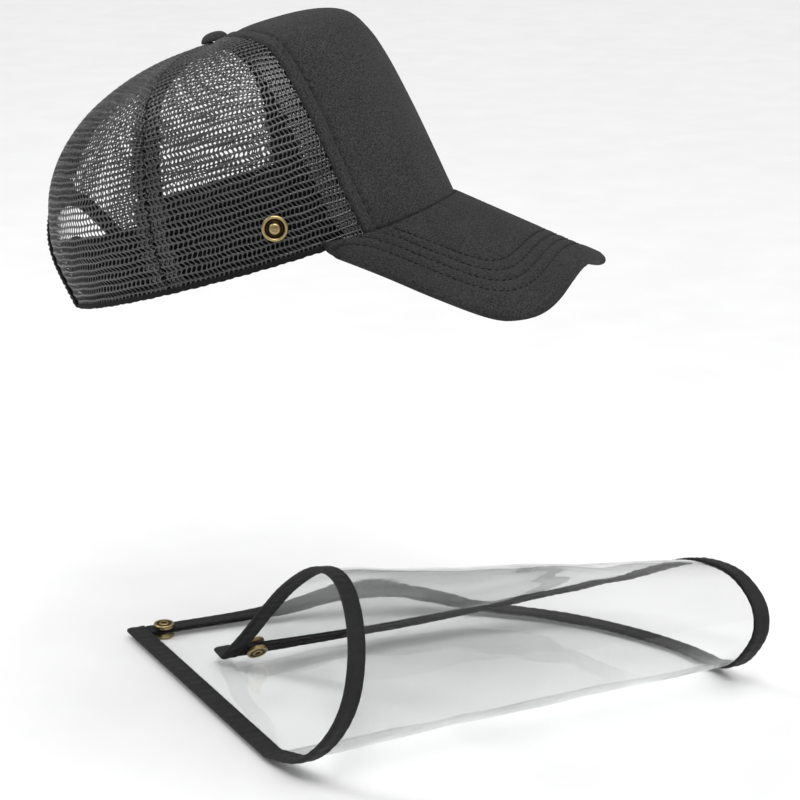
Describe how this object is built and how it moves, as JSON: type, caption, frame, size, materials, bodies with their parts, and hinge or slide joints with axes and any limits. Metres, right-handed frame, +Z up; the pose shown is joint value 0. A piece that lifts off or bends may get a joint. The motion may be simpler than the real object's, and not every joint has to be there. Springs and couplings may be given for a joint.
{
  "type": "mesh-back cap with detachable face shield",
  "caption": "Mesh-back cap with a foam front and curved visor, held tilted as worn, with its clear press-stud face shield lying curled below it.",
  "frame": {"origin": "centre of the head opening (the rim plane), where the head holds the cap", "axes": "-Y to the front of the cap (the visor side), -X to the wearer's right, +Z up; the cap is tilted 18 degrees front-up about X, as worn in the picture"},
  "size_m": [0.3115, 0.3791, 0.394],
  "materials": {
    "charcoal_cloth": "matt woven cloth bonded to foam",
    "dark_foam": "open-cell foam backing",
    "black_net": "glossy knitted nylon mesh",
    "black_tape": "flat seam tape",
    "black_sweatband": "matt woven sweatband",
    "black_plastic": "flexible moulded strap",
    "visor_cloth": "matt woven cloth",
    "board_plastic": "stiff visor board",
    "old_brass": "antique brass",
    "clear_film": "clear flexible PVC film",
    "black_binding": "folded grosgrain binding"
  },
  "bodies": {
    "cap": {"front_panel": "charcoal_cloth", "front_foam": "dark_foam", "mesh_side_right": "black_net", "mesh_side_left": "black_net", "mesh_back_right": "black_net", "mesh_back_left": "black_net", "seam_tape_front_right": "black_tape", "seam_tape_front_left": "black_tape", "seam_tape_side_right": "black_tape", "seam_tape_side_left": "black_tape", "seam_tape_back": "black_tape", "rear_opening_binding": "black_tape", "sweatband": "black_sweatband", "top_button": "charcoal_cloth", "top_button_rivet": "old_brass", "visor_top_cover": "visor_cloth", "visor_under_cover": "visor_cloth", "visor_board": "board_plastic", "snap_stud_right": "old_brass", "snap_stud_left": "old_brass", "snap_backing_right": "old_brass", "snap_backing_left": "old_brass"},
    "outer_strap": {"strap_with_holes": "black_plastic"},
    "inner_strap": {"strap_with_pegs": "black_plastic"},
    "shield": {"shield_sheet": "clear_film", "binding_straight_edge": "black_binding", "binding_curved_edge": "black_binding", "shield_socket_a": "old_brass", "shield_socket_b": "old_brass", "shield_snap_cap_a": "old_brass", "shield_snap_cap_b": "old_brass"}
  },
  "joints": [
    {"name": "outer_strap_hinge", "type": "hinge", "parent": "cap", "child": "outer_strap", "pos_m": [0.03249, 0.08845, -0.01656], "axis": [0, 0.309, 0.9511], "range_deg": [-22, 0], "stiffness_Nm_per_rad": 0.02},
    {"name": "inner_strap_hinge", "type": "hinge", "parent": "cap", "child": "inner_strap", "pos_m": [-0.03165, 0.08725, -0.01591], "axis": [0, 0.309, 0.9511], "range_deg": [-20, 0], "stiffness_Nm_per_rad": 0.02},
    {"name": "shield_lift", "type": "slide", "parent": "cap", "child": "shield", "axis": [0, 0, 1], "range_m": [0, 0.1]}
  ]
}
